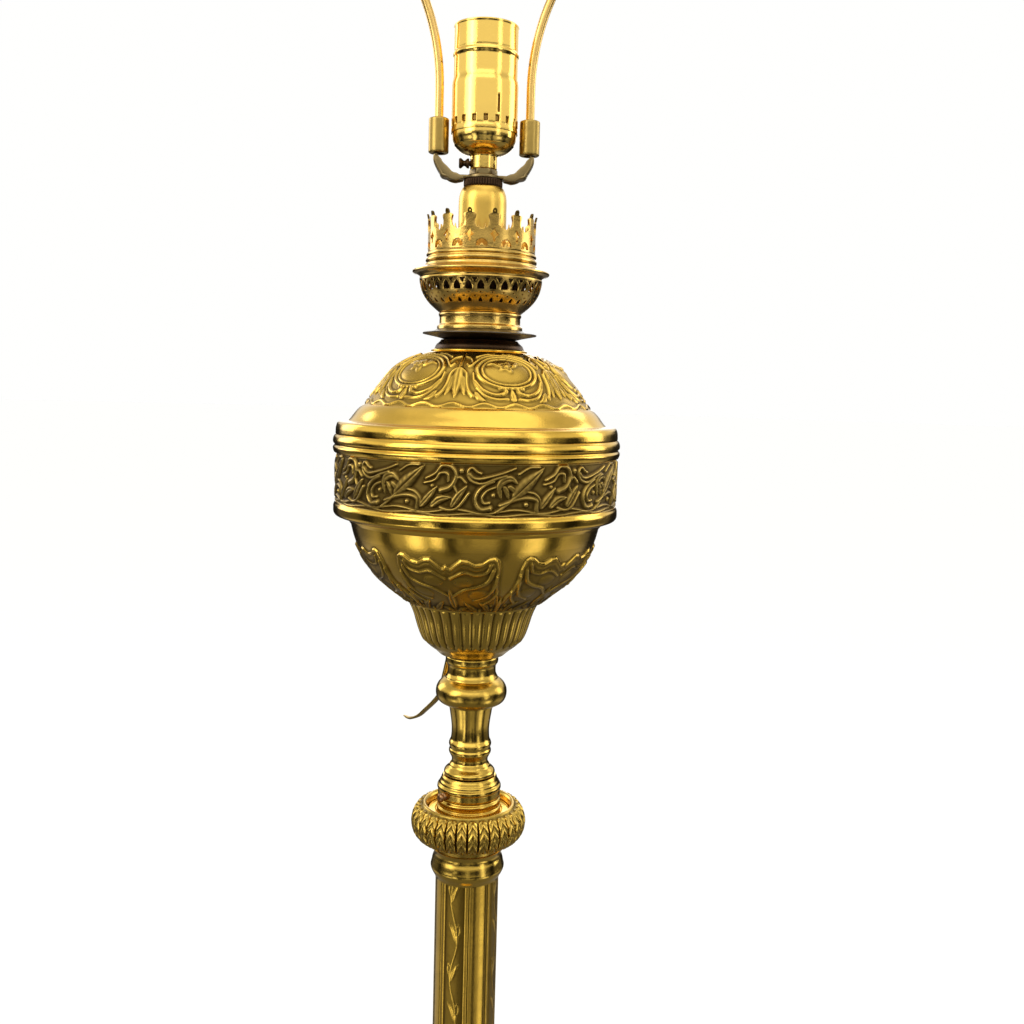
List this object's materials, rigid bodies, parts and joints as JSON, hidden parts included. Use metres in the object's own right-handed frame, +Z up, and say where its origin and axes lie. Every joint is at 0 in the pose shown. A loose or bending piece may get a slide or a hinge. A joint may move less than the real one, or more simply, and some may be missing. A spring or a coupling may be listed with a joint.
{
  "type": "telescoping floor lamp",
  "caption": "Brass floor lamp with a turned stem, ornamented font, pierced burner gallery, screw-cap socket and harp on a rod that slides in a weighted column.",
  "frame": {"origin": "on the floor, on the lamp's axis, under the centre of the round base", "axes": "+Z up along the column, -Y the front of the lamp, +X to the right seen from the front; the harp lies in the XZ plane"},
  "size_m": [0.3, 0.3, 1.6194],
  "materials": {
    "felt": "felt",
    "cast_iron": "sand cast, painted",
    "brass_base": "polished, aged",
    "steel": "plain",
    "phenolic": "moulded phenolic",
    "brass_column": "engraved, aged",
    "brass_cast": "cast and turned, aged polish",
    "brass_bright": "bright polish",
    "copper_screw": "browned",
    "guide": "turned",
    "hook_brass": "browned",
    "brass_patina": "brown patina with polished relief",
    "tank": "dull, spun",
    "dark_brown": "dark brown patina",
    "pewter": "dark tarnish",
    "brass_burner": "aged polish",
    "brass_satin": "satin",
    "bronze": "dull bronze",
    "brass_pale": "bright pale polish",
    "liner": "pressed fibre board",
    "harp_wire": "bright plated"
  },
  "bodies": {
    "stand": {"base_felt": "felt", "base_weight": "cast_iron", "base_shell": "brass_base", "base_nipple": "steel", "base_washer": "steel", "base_nut": "steel", "cord_bushing": "phenolic", "column_foot": "brass_base", "column_plug": "steel", "column_tube": "brass_column", "column_capital": "brass_cast", "leaf_ring": "brass_cast", "dished_disc": "brass_bright", "clamp_collar": "brass_cast"},
    "mast": {"sliding_rod": "brass_bright", "rod_guide": "guide", "stem_flange": "brass_cast", "stem_taper": "brass_cast", "stem_knop": "brass_cast", "stem_neck": "brass_cast", "stem_hook": "hook_brass", "centre_pipe": "steel", "fluted_cup": "brass_cast", "font_bowl": "brass_bright", "bowl_locknut": "steel", "font_rim": "brass_bright", "font_band": "brass_patina", "font_dome": "brass_bright", "oil_tank": "tank", "font_collar": "dark_brown", "drip_plate": "pewter", "burner_neck": "brass_burner", "burner_bowl": "brass_burner", "burner_flange": "brass_burner", "gallery_ring": "brass_burner", "gallery_crown": "brass_burner", "adapter_plate": "brass_burner", "adapter_tube": "brass_satin", "saddle_locknut": "dark_brown", "harp_saddle": "bronze", "spacer_nut": "bronze", "socket_cap": "brass_pale", "cap_set_screw": "dark_brown", "socket_core": "phenolic", "terminal_screws": "brass_pale", "lamp_thread_shell": "brass_pale", "centre_contact": "brass_pale", "socket_liner": "liner", "socket_shell": "brass_pale"},
    "left_clamp_screw": {"clamp_screw_left": "copper_screw"},
    "right_clamp_screw": {"clamp_screw_right": "copper_screw"},
    "switch": {"switch_knob": "phenolic"},
    "harp": {"harp_bow": "harp_wire"},
    "stud": {"harp_stud": "harp_wire"},
    "left_ferrule": {"ferrule_left": "hook_brass"},
    "right_ferrule": {"ferrule_right": "hook_brass"}
  },
  "joints": [
    {"name": "mast_slide", "type": "slide", "parent": "stand", "child": "mast", "axis": [0, 0, 1], "range_m": [0, 0.35]},
    {"name": "left_clamp_screw_turn", "type": "hinge", "parent": "stand", "child": "left_clamp_screw", "pos_m": [0, 0, 1.0187], "axis": [-0.7547, -0.6561, 0], "range_deg": [0, 720]},
    {"name": "right_clamp_screw_turn", "type": "hinge", "parent": "stand", "child": "right_clamp_screw", "pos_m": [0, 0, 1.0187], "axis": [0.7547, 0.6561, 0], "range_deg": [0, 720]},
    {"name": "switch_turn", "type": "hinge", "parent": "mast", "child": "switch", "pos_m": [0, 0, 1.378], "axis": [0, 1, 0], "continuous": true},
    {"name": "harp_lift", "type": "slide", "parent": "mast", "child": "harp", "axis": [0, 0, 1], "range_m": [0, 0.03]},
    {"name": "stud_swivel", "type": "hinge", "parent": "harp", "child": "stud", "pos_m": [0, 0, 1.60461], "axis": [0, 0, 1], "continuous": true},
    {"name": "left_ferrule_slide", "type": "slide", "parent": "harp", "child": "left_ferrule", "axis": [0, 0, 1], "range_m": [0, 0.022]},
    {"name": "right_ferrule_slide", "type": "slide", "parent": "harp", "child": "right_ferrule", "axis": [0, 0, 1], "range_m": [0, 0.022]}
  ]
}
